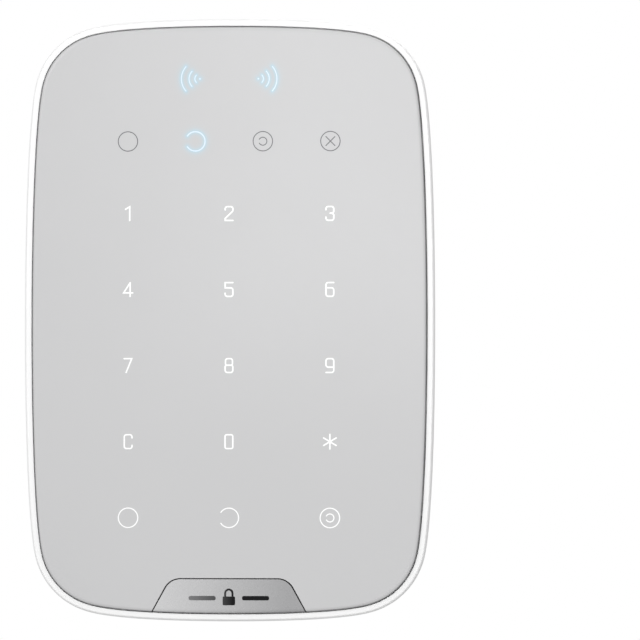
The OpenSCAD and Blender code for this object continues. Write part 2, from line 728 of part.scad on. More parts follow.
power_switch_z = board_back_z - 2.6;
module power_button() color("whitesmoke") upright() {
    post(power_at, back_z + 0.2, floor_z + 0.9, button_d);
    post(power_at, floor_z + 0.9, floor_z + 1.9, button_d + 2);
    post(power_at, floor_z + 1.9, power_switch_z - button_travel - 0.1, 3);
}

module power_switch() color("black") upright() {
    block(power_at, [6, 6], power_switch_z, board_back_z);
}

wall_bracket();
retaining_screw();
rear_shell();
front_frame();
touch_panel();
badge_plate();
badge_mark();
numeral_windows();
arming_key_windows();
status_windows();
lit_status_window();
reader_windows();
panel_adhesive();
touch_film();
light_frame();
key_board();
key_leds();
status_leds();
reader_coil();
ferrite_sheet();
controller_chip();
touch_chips();
radio_module();
board_passives();
radio_antenna();
battery_cells();
battery_springs();
contact_plates();
battery_insulator();
battery_cover();
battery_cover_screws();
case_screws();
buzzer();
tamper_plunger();
tamper_spring();
tamper_switch();
power_button();
power_switch();
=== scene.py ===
import json
import math

import bmesh
import bpy
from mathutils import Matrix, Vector


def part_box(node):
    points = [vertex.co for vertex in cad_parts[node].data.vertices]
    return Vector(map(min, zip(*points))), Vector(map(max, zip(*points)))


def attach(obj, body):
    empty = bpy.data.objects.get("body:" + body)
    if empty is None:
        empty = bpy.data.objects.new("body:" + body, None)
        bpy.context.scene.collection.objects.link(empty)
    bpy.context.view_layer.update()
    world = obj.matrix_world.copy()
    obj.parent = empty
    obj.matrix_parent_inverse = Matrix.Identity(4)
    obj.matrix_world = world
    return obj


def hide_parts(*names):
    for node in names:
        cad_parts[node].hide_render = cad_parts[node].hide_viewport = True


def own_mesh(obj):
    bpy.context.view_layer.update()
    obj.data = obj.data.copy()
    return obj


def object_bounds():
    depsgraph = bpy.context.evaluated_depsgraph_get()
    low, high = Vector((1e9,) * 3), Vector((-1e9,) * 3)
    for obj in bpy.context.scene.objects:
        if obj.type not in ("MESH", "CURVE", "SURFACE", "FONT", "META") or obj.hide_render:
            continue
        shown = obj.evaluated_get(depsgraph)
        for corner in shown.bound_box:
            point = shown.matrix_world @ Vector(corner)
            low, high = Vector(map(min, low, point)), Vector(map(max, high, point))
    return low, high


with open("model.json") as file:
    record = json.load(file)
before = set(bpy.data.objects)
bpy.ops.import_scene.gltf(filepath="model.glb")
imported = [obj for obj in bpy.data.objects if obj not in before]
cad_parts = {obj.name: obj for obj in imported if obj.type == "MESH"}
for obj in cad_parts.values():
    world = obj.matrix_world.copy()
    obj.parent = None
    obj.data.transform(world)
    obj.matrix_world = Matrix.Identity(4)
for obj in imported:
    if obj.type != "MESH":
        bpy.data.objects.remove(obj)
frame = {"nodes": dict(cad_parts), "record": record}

# Wall-mounted alarm keypad. +X is right seen from the front, +Z is up, and the front faces -Y.
# The scene is in metres, and the sizes of the part below are in millimetres. A depth is the
# distance from the wall, so a point at some depth has y = -depth.

CAD_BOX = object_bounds()
MM = 0.001
NODES = frame["nodes"]

# ---------------------------------------------------------------- sizes from the frame
case_low, case_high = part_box("front_frame")
CASE_W = (case_high.x - case_low.x) / MM
CASE_H = (case_high.z - case_low.z) / MM
CASE_D = -CAD_BOX[0][1] / MM
panel_low, panel_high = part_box("touch_panel")
PANEL_BACK = -panel_high.y / MM
PANEL_INSET = (case_high.x - panel_high.x) / MM
RIM_TOP = -case_low.y / MM
PARTING = -case_high.y / MM

# Profile of the case, in millimetres, as in the CAD source
CORNER_R = 20.4
SIDE_ANGLE = 2.3
END_ANGLE = 3.2
WIDEST = 12.5           # depth of the case's widest line
SHOULDER = 15.5         # depth where the rim starts to turn in
TAPER_RUN = 13
TAPER_W = 10
RIM_ROUND = 0.9
RIM_W = 2.1
WALL_T = 1.9
LEDGE_W = 3.5
LEDGE_T = 1.6
FILM_T = 0.2
ROLL_W = 1.1            # rolled edge of the panel
ROLL_H = 1.1
BADGE_TOP = -70.95
BADGE_HALF_TOP = 15.95
BADGE_HALF_FOOT = 22.9
BADGE_FOOT = -83.5
BADGE_R = 4.7
BADGE_GAP = 0.3
CELL_L = 44.5

# Details of the visible meshes
SINK = 0.015            # how far the panel's face lies behind its symbol windows
PARTING_CHAMFER = 0.12
RIM_EDGE_R = 0.06
QUARTER = 56            # outline points in a quarter
TAPER_STEPS = 8
RIM_STEPS = 16
ROLL_STEPS = 18
FILLET_STEPS = 12
CORNER_STEPS = 6
SMOOTH_BELOW = 30       # edges of a mesh that turn by fewer degrees than this are shaded smooth
CAD_SMOOTH_BELOW = 32
END_TURN = 0.8          # the closed turn at each end of a spring
THREAD_PITCH = 0.8

PANEL_COLOUR = (0.52, 0.52, 0.525)
# painted shade: the dark colour that the edges of the panel and the badge take below their faces, where the
# gap by the rim lies in shade
GAP_SHADE_COLOUR = (0.12, 0.12, 0.125)
PANEL_GLOW = (0.385, 0.575, 0.67)
GLOW_LIGHT = (0.3, 0.7, 1.0)
GLOW_STRENGTH = 0.045
# painted reflection: the badge's paint runs from light on the left to dark on the right, as a glossy metal's
# reflection would
BADGE_PAINTED_REFLECTION = (0.58, 0.58, 0.585), (0.34, 0.34, 0.345)     # on the left and on the right
# painted reflection: the mark runs from grey on the left to black on the right
INK_PAINTED_REFLECTION = (0.17, 0.17, 0.173), (0.006, 0.006, 0.007)
INK_FROM, INK_TO = -11, 1       # the x where the mark starts to darken, and where it is darkest
CASE_COLOUR = (0.86, 0.86, 0.86)
BAND_L = 13.5           # a cell's copper band, and the pale line that ends it
LINE_AT, LINE_HALF = 13.9, 0.25
SLEEVE_ENDS = (1.3, 0.28)   # bare steel at a cell's terminal end and at its foot

# Lit symbols, in millimetres from the centre: the status ring, and the reader's waves with the
# radius and half angle of each arc
LIT_RING_AT = (-9.25, 48.8)
LIT_RING = (2.66, 146)
READER_AT = (8, 65.95)
READER_WAVES = ((5.1, 41), (3, 43), (1.4, 45), (0.05, 90))
GLOW_REACH = 0.55
# depths below the face over which the panel's edge turns to painted shade
GAP_SHADE_STARTS = (0.25, 0.5)   # how far below the face a panel's side turns dark


# ---------------------------------------------------------------- outline of the case
def outline_terms():
    """The closed form of the case's outline: see the gains in outline_point."""
    side_k = 180 / math.pi / SIDE_ANGLE
    end_k = 180 / math.pi / END_ANGLE
    half_w = CASE_W / 2 - CORNER_R
    half_h = CASE_H / 2 - CORNER_R
    quarter = math.pi / 2
    a, b = sin_part(side_k, quarter), cos_part(end_k, quarter)
    c, d = cos_part(side_k, quarter), sin_part(end_k, quarter)
    det = a * d - b * c
    return side_k, end_k, (half_w * d - half_h * b) / det, (half_h * a - half_w * c) / det


def sin_part(k, t):
    return (1 - math.exp(-k * t) * (k * math.sin(t) + math.cos(t))) / (k * k + 1)


def cos_part(k, t):
    return (k - math.exp(-k * t) * (k * math.cos(t) - math.sin(t))) / (k * k + 1)


SIDE_K, END_K, SIDE_GAIN, END_GAIN = outline_terms()


def outline_point(t, inset):
    """The point of the first quarter whose normal is at angle t, moved inwards by inset."""
    quarter = math.pi / 2
    x = (CASE_W / 2 - CORNER_R * (1 - math.cos(t)) - SIDE_GAIN * sin_part(SIDE_K, t)
         - END_GAIN * (cos_part(END_K, quarter) - cos_part(END_K, quarter - t)))
    z = (CORNER_R * math.sin(t) + SIDE_GAIN * cos_part(SIDE_K, t)
         + END_GAIN * (sin_part(END_K, quarter) - sin_part(END_K, quarter - t)))
    return x - inset * math.cos(t), z - inset * math.sin(t)


def outline(inset):
    """The whole outline in millimetres, anticlockwise seen from the front."""
    points = []
    for q in range(4):
        for i in range(QUARTER):
            k = i if q % 2 == 0 else QUARTER - i
            x, z = outline_point(math.pi / 4 * (1 - math.cos(math.pi * k / QUARTER)), inset)
            points.append((x if q in (0, 3) else -x, z if q < 2 else -z))
    return points


def skin(depth):
    """How far the case's skin lies inside its widest line."""
    if depth < WIDEST:
        return TAPER_W * (1 - math.cos(math.asin((WIDEST - depth) / TAPER_RUN)))
    if depth < SHOULDER:
        return 0
    rise = min(1, (depth - SHOULDER) / (RIM_TOP - SHOULDER))
    return RIM_ROUND * (1 - math.cos(math.asin(rise)))


# ---------------------------------------------------------------- meshes
def place(x, z, depth):
    """A point of the scene, in metres, from millimetres."""
    return (x * MM, -depth * MM, z * MM)


def turn_angles(steps):
    return [math.tau * i / steps for i in range(steps)]


def rounded_box(size, corner, inset=0.0):
    """Points of a rectangle with rounded corners, anticlockwise, moved inwards by inset."""
    radius = max(corner - inset, 0)
    half_w, half_h = size[0] / 2 - inset - radius, size[1] / 2 - inset - radius
    count = CORNER_STEPS if corner > 0 else 0
    points = []
    for q, (sx, sz) in enumerate(((1, 1), (-1, 1), (-1, -1), (1, -1))):
        for i in range(count + 1):
            a = math.pi / 2 * (q + (i / count if count else 0.5))
            points.append((sx * half_w + radius * math.cos(a), sz * half_h + radius * math.sin(a)))
    return points


class Shapes:
    """Shapes gathered into one mesh. Places are (x, z), and depths are from the wall, in mm."""

    def __init__(self):
        self.bm = bmesh.new()

    def loft(self, rings, closed_loop=False):
        """A skin through rings of points. Its ends are capped, or it runs round on itself."""
        loops = [[self.bm.verts.new(p) for p in ring] for ring in rings]
        pairs = list(zip(loops, loops[1:]))
        if closed_loop:
            pairs.append((loops[-1], loops[0]))
        for low, high in pairs:
            for i in range(len(low)):
                j = (i + 1) % len(low)
                self.bm.faces.new((low[i], low[j], high[j], high[i]))
        if not closed_loop:
            self.bm.faces.new(list(reversed(loops[0])))
            self.bm.faces.new(loops[-1])

    def slab(self, at, size, low, high, corner=0.0, edge=0.06):
        """A block with rounded corners and softened edges."""
        self.loft([[place(at[0] + x, at[1] + z, depth) for x, z in rounded_box(size, corner, inset)]
                   for inset, depth in ((edge, low), (0, low + edge), (0, high - edge), (edge, high))])

    def turned(self, at, profile, steps=48):
        """A solid of revolution about the Y axis, from points given as (radius, depth)."""
        self.loft([[place(at[0] + r * math.cos(a), at[1] + r * math.sin(a), depth)
                    for a in turn_angles(steps)] for r, depth in profile])

    def turned_upright(self, at, depth, profile, steps=64):
        """A solid of revolution about an upright axis, from points given as (radius, z)."""
        self.loft([[place(at + r * math.cos(a), z, depth + r * math.sin(a))
                    for a in turn_angles(steps)] for r, z in profile])

    def wire_loop(self, at, size, corner, depth, radius):
        """A round wire bent into a flat rounded loop."""
        self.loft([[place(at[0] + x, at[1] + z, depth + radius * math.sin(a))
                    for x, z in rounded_box(size, corner, radius * math.cos(a))]
                   for a in turn_angles(10)], closed_loop=True)

    def coil(self, centre, radius, low, high, turns, wire):
        """A round-wire compression spring along Y between two depths, with closed ends."""
        steps = turns * 36
        rings = []
        for i in range(steps + 1):
            turn = turns * i / steps
            rise = min(1, max(0, (turn - END_TURN) / (turns - 2 * END_TURN)))
            depth = low + wire + (high - low - 2 * wire) * rise
            a = math.tau * turn
            rings.append([place(centre[0] + (radius + wire * math.cos(b)) * math.cos(a),
                                centre[1] + (radius + wire * math.cos(b)) * math.sin(a),
                                depth + wire * math.sin(b)) for b in turn_angles(10)])
        self.loft(rings)

    def mesh(self, name):
        """The finished mesh. Nothing can be added after it."""
        bmesh.ops.recalc_face_normals(self.bm, faces=self.bm.faces)
        mesh = bpy.data.meshes.new(name)
        self.bm.to_mesh(mesh)
        self.bm.free()
        return mesh

    def piece(self, name, slot, node, material=None):
        return add_piece(name, self.mesh(name), slot, node, material)


def outline_mesh(name, rings, closed_loop=False):
    """A mesh through the case's outline at each (inset, depth)."""
    shapes = Shapes()
    shapes.loft([[place(x, z, depth) for x, z in outline(inset)] for inset, depth in rings], closed_loop)
    return shapes.mesh(name)


def prism_mesh(name, points, low, high):
    """A prism of (x, z) points between two depths."""
    shapes = Shapes()
    shapes.loft([[place(x, z, depth) for x, z in points] for depth in (low, high)])
    return shapes.mesh(name)


def boolean_mesh(name, mesh, tool, operation):
    """The exact boolean of two meshes."""
    scene = bpy.context.scene
    a = bpy.data.objects.new(name + "_a", mesh)
    b = bpy.data.objects.new(name + "_b", tool)
    scene.collection.objects.link(a)
    scene.collection.objects.link(b)
    mod = a.modifiers.new("cut", "BOOLEAN")
    mod.operation = operation
    mod.solver = "EXACT"
    mod.object = b
    bpy.context.view_layer.update()
    done = bpy.data.meshes.new_from_object(a.evaluated_get(bpy.context.evaluated_depsgraph_get()))
    done.name = name
    bpy.data.objects.remove(a)
    bpy.data.objects.remove(b)
    return done


def smooth_by_angle(mesh):
    """Smooth shading, with edges sharper than SMOOTH_BELOW kept crisp."""
    bm = bmesh.new()
    bm.from_mesh(mesh)
    for face in bm.faces:
        face.smooth = True
    limit = math.radians(SMOOTH_BELOW)
    for edge in bm.edges:
        edge.smooth = len(edge.link_faces) == 2 and edge.calc_face_angle() < limit
    bm.to_mesh(mesh)
    bm.free()


def add_piece(name, mesh, slot, node, material=None):
    """A visible piece of the keypad, shown in a CAD node's place, by default in its slot's material."""
    smooth_by_angle(mesh)
    piece = bpy.data.objects.new(name, mesh)
    bpy.context.scene.collection.objects.link(piece)
    mesh.materials.clear()
    mesh.materials.append(material or MATERIALS[slot])
    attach(piece, "keypad")
    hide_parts(node)
    return piece


# ---------------------------------------------------------------- materials
class Nodes:
    """Short calls for building a material's nodes, in object space and millimetres."""

    def __init__(self, name):
        self.material = bpy.data.materials.new(name)
        self.material.use_nodes = True
        self.tree = self.material.node_tree
        self.tree.nodes.clear()
        self.shader = self.add("ShaderNodeBsdfPrincipled")
        out = self.add("ShaderNodeOutputMaterial")
        self.link(self.shader.outputs["BSDF"], out.inputs["Surface"])
        coords = self.add("ShaderNodeTexCoord")
        scale = self.add("ShaderNodeVectorMath", operation="SCALE")
        scale.inputs["Scale"].default_value = 1 / MM
        self.link(coords.outputs["Object"], scale.inputs[0])
        self.mm = scale.outputs[0]

    def add(self, kind, **settings):
        node = self.tree.nodes.new(kind)
        for key, value in settings.items():
            setattr(node, key, value)
        return node

    def link(self, source, target):
        self.tree.links.new(source, target)

    def noise(self, size, detail=3.0, rough=0.5, stretch=(1, 1, 1)):
        """Noise whose features are about size millimetres across."""
        scale = self.add("ShaderNodeVectorMath", operation="MULTIPLY")
        scale.inputs[1].default_value = [s / size for s in stretch]
        self.link(self.mm, scale.inputs[0])
        node = self.add("ShaderNodeTexNoise")
        node.inputs["Scale"].default_value = 1.0
        node.inputs["Detail"].default_value = detail
        node.inputs["Roughness"].default_value = rough
        self.link(scale.outputs[0], node.inputs["Vector"])
        return node.outputs["Fac"]

    def math(self, operation, a, b=None):
        node = self.add("ShaderNodeMath", operation=operation)
        for socket, value in zip(node.inputs, (a, b)):
            if value is None:
                continue
            if isinstance(value, (int, float)):
                socket.default_value = value
            else:
                self.link(value, socket)
        return node.outputs[0]

    def span(self, value, low, high, out_low=0.0, out_high=1.0):
        node = self.add("ShaderNodeMapRange")
        self.link(value, node.inputs["Value"])
        for key, number in (("From Min", low), ("From Max", high),
                            ("To Min", out_low), ("To Max", out_high)):
            node.inputs[key].default_value = number
        return node.outputs["Result"]

    def mix(self, factor, a, b):
        node = self.add("ShaderNodeMix", data_type="RGBA")
        self.link(factor, node.inputs["Factor"])
        for index, value in ((6, a), (7, b)):
            if isinstance(value, (tuple, list)):
                node.inputs[index].default_value = (*value, 1) if len(value) == 3 else value
            else:
                self.link(value, node.inputs[index])
        return node.outputs[2]

    def axes(self):
        node = self.add("ShaderNodeSeparateXYZ")
        self.link(self.mm, node.inputs[0])
        return node.outputs

    def bump(self, height, distance, strength=1.0, after=None):
        node = self.add("ShaderNodeBump")
        node.inputs["Strength"].default_value = strength
        node.inputs["Distance"].default_value = distance * MM
        self.link(height, node.inputs["Height"])
        if after is not None:
            self.link(after, node.inputs["Normal"])
        return node.outputs["Normal"]

    def rounded_edges(self, radius):
        """A normal that makes sharp edges catch the light as moulded or worn ones do."""
        node = self.add("ShaderNodeBevel", samples=4)
        node.inputs["Radius"].default_value = radius * MM
        return node.outputs["Normal"]

    def stripes(self, value, pitch, share):
        """1 on stripes that take up a share of the pitch, and 0 between them."""
        phase = self.math("FRACT", self.math("MULTIPLY", value, 1 / pitch))
        return self.math("LESS_THAN", phase, share)

    def set(self, **values):
        """Values set on the shader itself, or linked where they vary."""
        for key, value in values.items():
            socket = self.shader.inputs[key.replace("_", " ")]
            if isinstance(value, bpy.types.NodeSocket):
                self.link(value, socket)
            elif isinstance(value, (tuple, list)):
                socket.default_value = (*value, 1) if len(value) == 3 else value
            else:
                socket.default_value = value


def shade(colour, factor):
    return tuple(min(1, c * factor) for c in colour)


def moulded_plastic(name, colour, rough, grain=0.35, depth=0.01, variation=0.03, edge=0.12):
    """Moulded plastic with a spark-eroded grain and faint unevenness of tone and gloss.
    A mesh of fine facets takes an edge of 0, since rounding would pick out every facet."""
    n = Nodes(name)
    base = n.rounded_edges(edge) if edge else None
    tone = n.span(n.noise(28, 2), 0.35, 0.65)
    fine = n.noise(grain, 2, 0.6)
    n.set(Base_Color=n.mix(tone, shade(colour, 1 - variation), colour),
          Roughness=n.span(n.noise(6, 3), 0.3, 0.7, rough - 0.04, rough + 0.05),
          IOR=1.5,
          Normal=n.bump(fine, depth, 0.5, after=base))
    return n.material


def metal(name, colour, rough, stretch=(1, 1, 8), size=0.6):
    """Plated metal with fine drawn scratches and a slightly uneven plate."""
    n = Nodes(name)
    drawn = n.noise(size, 4, 0.65, stretch)
    cloud = n.span(n.noise(5, 3), 0.3, 0.7)
    n.set(Base_Color=n.mix(cloud, shade(colour, 0.86), colour),
          Metallic=1.0,
          Roughness=n.span(drawn, 0.25, 0.75, rough - 0.08, rough + 0.12),
          Normal=n.bump(drawn, 0.006, 0.4, after=n.rounded_edges(0.08)))
    return n.material


def board_material():
    """Solder mask over traces that run up and across the board, with gilt vias."""
    n = Nodes("board")
    across, _, up = n.axes()
    field = n.noise(9, 1)
    runs_up = n.math("MULTIPLY", n.stripes(across, 1.1, 0.3), n.math("GREATER_THAN", field, 0.54))
    runs_across = n.math("MULTIPLY", n.stripes(up, 1.1, 0.3), n.math("LESS_THAN", field, 0.46))
    trace = n.math("MAXIMUM", runs_up, runs_across)
    cells = n.add("ShaderNodeTexVoronoi")
    cells.inputs["Scale"].default_value = 0.3
    n.link(n.mm, cells.inputs["Vector"])
    via = n.math("LESS_THAN", cells.outputs["Distance"], 0.07)
    mask = n.mix(trace, (0.012, 0.085, 0.035), (0.024, 0.15, 0.06))
    n.set(Base_Color=n.mix(via, mask, (0.72, 0.50, 0.20)),
          Metallic=via,
          Roughness=n.span(n.noise(3, 3), 0.3, 0.7, 0.28, 0.4),
          Normal=n.bump(trace, 0.03, 0.6, after=n.rounded_edges(0.08)))
    return n.material


def screw_material(name, axis):
    """Zinc-plated steel. The grooves of the thread run round the shank, which lies along an axis."""
    n = Nodes(name)
    thread = n.math("SINE", n.math("MULTIPLY", n.axes()[axis], math.tau / THREAD_PITCH))
    plate = n.noise(0.5, 4, 0.6, (2, 1, 2))
    n.set(Base_Color=n.mix(n.span(n.noise(3, 3), 0.3, 0.7), (0.50, 0.51, 0.53), (0.66, 0.67, 0.69)),
          Metallic=1.0,
          Roughness=n.span(plate, 0.25, 0.75, 0.24, 0.42),
          Normal=n.bump(thread, 0.12, 0.6, after=n.rounded_edges(0.1)))
    return n.material


def cell_material(name, band_up):
    """A dry cell's printed sleeve: black with a copper band at the terminal end, and bare steel ends."""
    n = Nodes(name)
    low, high = (edge.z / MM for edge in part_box("battery_cells"))
    _, _, up = n.axes()
    from_tip = n.math("SUBTRACT", high, up) if band_up else n.math("SUBTRACT", up, low)
    from_foot = n.math("SUBTRACT", high - low, from_tip)
    band = n.math("LESS_THAN", from_tip, BAND_L)
    line = n.math("COMPARE", from_tip, LINE_AT)
    line.node.inputs[2].default_value = LINE_HALF
    steel = n.math("MAXIMUM", n.math("LESS_THAN", from_tip, SLEEVE_ENDS[0]),
                   n.math("LESS_THAN", from_foot, SLEEVE_ENDS[1]))
    printed = n.mix(line, n.mix(band, (0.018, 0.018, 0.02), (0.62, 0.27, 0.10)), (0.75, 0.75, 0.75))
    n.set(Base_Color=n.mix(steel, printed, (0.62, 0.62, 0.64)),
          Metallic=n.math("MAXIMUM", steel, n.math("MULTIPLY", band, 0.8)),
          Roughness=n.span(n.noise(2, 4), 0.3, 0.7, 0.2, 0.32),
          Normal=n.bump(n.noise(1.5, 3), 0.01, 0.4))
    return n.material


def arc_distance(n, x, z, radius, half_angle):
    """Distance from an arc about the origin that is open on its left and mirrored in the X axis."""
    half = math.radians(half_angle)
    z = n.math("ABSOLUTE", z)
    reach = length(n, x, z)
    off_line = n.math("ABSOLUTE", n.math("SUBTRACT", reach, radius))
    off_end = length(n, n.math("SUBTRACT", x, radius * math.cos(half)),
                     n.math("SUBTRACT", z, radius * math.sin(half)))
    within = n.math("LESS_THAN", n.math("ARCTAN2", z, x), half)
    return n.math("ADD", n.math("MULTIPLY", within, off_line),
                  n.math("MULTIPLY", n.math("SUBTRACT", 1.0, within), off_end))


def length(n, x, z):
    return n.math("SQRT", n.math("ADD", n.math("MULTIPLY", x, x), n.math("MULTIPLY", z, z)))


def symbol_glow(n):
    """Light that spreads in the panel round its lit symbols, from 1 on their strokes down to 0."""
    x, _, z = n.axes()
    ring_x = n.math("SUBTRACT", x, LIT_RING_AT[0])
    ring_z = n.math("SUBTRACT", z, LIT_RING_AT[1])
    near = arc_distance(n, ring_x, ring_z, *LIT_RING)
    wave_x = n.math("SUBTRACT", n.math("ABSOLUTE", x), READER_AT[0])
    wave_z = n.math("SUBTRACT", z, READER_AT[1])
    for wave in READER_WAVES:
        near = n.math("MINIMUM", near, arc_distance(n, wave_x, wave_z, *wave))
    return n.math("EXPONENT", n.math("MULTIPLY", near, -1 / GLOW_REACH))


def painted_gap_shade(n, colour):
    """The colour of a panel's face, darkened with painted shade where its edge turns down into the gap by
    the rim.
    """
    _, y, _ = n.axes()
    drop = n.math("ADD", y, CASE_D - SINK)
    return n.mix(n.span(drop, *GAP_SHADE_STARTS), colour, GAP_SHADE_COLOUR)


def panel_material():
    """Glossy hard-coated polycarbonate, lit from below at its lit symbols."""
    n = Nodes("panel_gloss")
    tone = n.span(n.noise(40, 2), 0.3, 0.7)
    glow = symbol_glow(n)
    colour = n.mix(tone, shade(PANEL_COLOUR, 0.985), PANEL_COLOUR)
    # the face's colour, with painted shade on the edge that turns down into the gap, and the glow round the
    # lit symbols
    n.set(Base_Color=n.mix(glow, painted_gap_shade(n, colour), PANEL_GLOW),
          Roughness=n.span(n.noise(3, 4), 0.3, 0.7, 0.16, 0.2),
          IOR=1.5,
          Coat_Weight=0.3,
          Coat_Roughness=0.06,
          Emission_Color=GLOW_LIGHT,
          Emission_Strength=n.math("MULTIPLY", glow, GLOW_STRENGTH),
          Normal=n.bump(n.noise(7, 2), 0.004, 0.3))
    return n.material


def painted_reflection_fade(n, from_x, to_x, shades):
    """A painted reflection: a colour that runs from one shade to another across the object, between two
    places in X.
    """
    x, _, _ = n.axes()
    return n.mix(n.span(x, from_x, to_x), *shades)


def badge_material():
    """Satin metallic paint over plastic, with a painted reflection that darkens it towards the right."""
    n = Nodes("badge_gloss")
    # painted reflection across the badge, from light on the left to dark on the right
    paint = painted_reflection_fade(n, -BADGE_HALF_FOOT, BADGE_HALF_TOP, BADGE_PAINTED_REFLECTION)
    # the badge's edge takes the same painted shade in the gap as the panel's
    n.set(Base_Color=painted_gap_shade(n, paint),
          Metallic=0.15,
          Roughness=n.span(n.noise(2, 4), 0.3, 0.7, 0.24, 0.3),
          Normal=n.bump(n.noise(0.25, 2), 0.003, 0.4, after=n.rounded_edges(0.12)))
    return n.material


def badge_ink_material():
    """Foil print, with a painted reflection that runs from grey on the left to black on the right."""
    n = Nodes("badge_ink")
    # painted reflection across the mark, from grey to black
    n.set(Base_Color=painted_reflection_fade(n, INK_FROM, INK_TO, INK_PAINTED_REFLECTION),
          Specular_IOR_Level=0.15,
          Roughness=n.span(n.noise(1.5, 4), 0.3, 0.7, 0.26, 0.34),
          Normal=n.bump(n.noise(0.3, 2), 0.002, 0.4))
    return n.material


def lit_material(name, colour, glow, strength):
    """A translucent window in the panel's face. A strength above 0 lights it from behind."""
    n = Nodes(name)
    uneven = n.span(n.noise(0.8, 2), 0.3, 0.7)
    n.set(Base_Color=n.mix(uneven, shade(colour, 0.97), colour),
          Roughness=n.span(n.noise(3, 3), 0.3, 0.7, 0.16, 0.22),
          Emission_Color=n.mix(uneven, shade(glow, 0.95), glow),
          Emission_Strength=strength)
    return n.material


# For each slot: colour, roughness, size and depth of the grain in mm, unevenness of tone
PLASTICS = {
    "case_plastic": (CASE_COLOUR, 0.42, 0.3, 0.006, 0.012),
    "bracket_plastic": ((0.78, 0.78, 0.77), 0.55, 0.5, 0.02, 0.03),
    "adhesive": ((0.03, 0.03, 0.03), 0.9, 0.25, 0.05, 0.2),
    "film": ((0.02, 0.02, 0.022), 0.2, 3.0, 0.01, 0.15),
    "diffuser": ((0.80, 0.78, 0.72), 0.5, 0.4, 0.01, 0.04),
    "led": ((0.85, 0.78, 0.40), 0.25, 0.4, 0.01, 0.1),
    "ferrite": ((0.03, 0.03, 0.035), 0.6, 0.3, 0.02, 0.2),
    "chip": ((0.012, 0.012, 0.013), 0.5, 0.12, 0.01, 0.2),
    "ceramic": ((0.36, 0.26, 0.15), 0.45, 0.2, 0.01, 0.2),
    "insulator": ((0.52, 0.53, 0.50), 0.7, 0.5, 0.02, 0.08),
    "buzzer": ((0.014, 0.014, 0.014), 0.5, 0.3, 0.02, 0.2),
    "button": ((0.60, 0.60, 0.57), 0.4, 0.3, 0.008, 0.04),
    "switch": ((0.016, 0.016, 0.017), 0.45, 0.25, 0.01, 0.2),
}
# Colour, roughness, then the stretch and the size of the scratches where they aren't the usual ones
METALS = {
    "copper": ((0.80, 0.36, 0.18), 0.3),
    "shield": ((0.62, 0.62, 0.63), 0.35),
    "spring_steel": ((0.58, 0.58, 0.60), 0.28, (4, 4, 1), 0.3),
    "contact": ((0.66, 0.64, 0.60), 0.3),
}
# Colour, the colour of the light behind it and its strength
LEGENDS = {
    "legend_white": ((0.84, 0.84, 0.84), (1, 1, 1), 0.08),
    "legend_grey": ((0.17, 0.17, 0.18), (1, 1, 1), 0.0),
    "legend_blue": ((0.54, 0.61, 0.68), (0.80, 0.93, 1.0), 0.18),
}


def frame_materials():
    """A material for each of the record's slots, by slot name."""
    made = {
        "board": board_material(),
        "screw": screw_material("screw", 1),
        "cell": cell_material("cell", True),
        "panel_gloss": panel_material(),
        "badge_gloss": badge_material(),
        "badge_ink": badge_ink_material(),
    }
    for make, table in ((moulded_plastic, PLASTICS), (metal, METALS), (lit_material, LEGENDS)):
        made.update({slot: make(slot, *values) for slot, values in table.items()})
    return made


MATERIALS = frame_materials()
CELL_SLEEVES = {True: MATERIALS["cell"], False: cell_material("cell_turned", False)}


# ---------------------------------------------------------------- visible shells
def panel_rings():
    """Rings of the panel, as (inset, depth): its square back edge, the rolled edge, the flat front."""
    face = CASE_D - SINK
    rings = [(PANEL_INSET + 0.1, PANEL_BACK), (PANEL_INSET, PANEL_BACK + 0.1)]
    for k in range(ROLL_STEPS + 1):
        a = math.pi / 2 * k / ROLL_STEPS
        rings.append((PANEL_INSET + ROLL_W * (1 - math.cos(a)), face - ROLL_H * (1 - math.sin(a))))
    return rings + [(PANEL_INSET + ROLL_W + step, face) for step in (0.4, 1.5)]


def fillet(a, b, c, radius):
    """Points of the arc that rounds corner b between a and c."""
    a, b, c = Vector(a), Vector(b), Vector(c)
    u, v = (a - b).normalized(), (c - b).normalized()
    half = u.angle(v) / 2
    centre = b + (u + v).normalized() * radius / math.sin(half)
    p = b + u * radius / math.tan(half) - centre
    q = b + v * radius / math.tan(half) - centre
    start = math.atan2(p.y, p.x)
    sweep = math.remainder(math.atan2(q.y, q.x) - start, math.tau)
    angles = [start + sweep * i / FILLET_STEPS for i in range(FILLET_STEPS + 1)]
    return [tuple(centre + radius * Vector((math.cos(t), math.sin(t)))) for t in angles]


def badge_outline(grow):
    """The badge's shape, made larger by grow."""
    foot, top = BADGE_HALF_FOOT + grow, BADGE_HALF_TOP + grow
    foot_l, foot_r = (-foot, BADGE_FOOT), (foot, BADGE_FOOT)
    top_l, top_r = (-top, BADGE_TOP + grow), (top, BADGE_TOP + grow)
    return ([foot_l, foot_r] + fillet(foot_r, top_r, top_l, BADGE_R + grow)
            + fillet(top_r, top_l, foot_l, BADGE_R + grow))


def make_panel_piece(name, grow, operation, slot, node):
    """The panel without its badge, or the badge alone: one blank, cut or kept by the badge's shape."""
    blank = outline_mesh(name + "_blank", panel_rings())
    tool = prism_mesh(name + "_tool", badge_outline(grow), PANEL_BACK - 2, CASE_D + 2)
    add_piece(name, boolean_mesh(name, blank, tool, operation), slot, node)


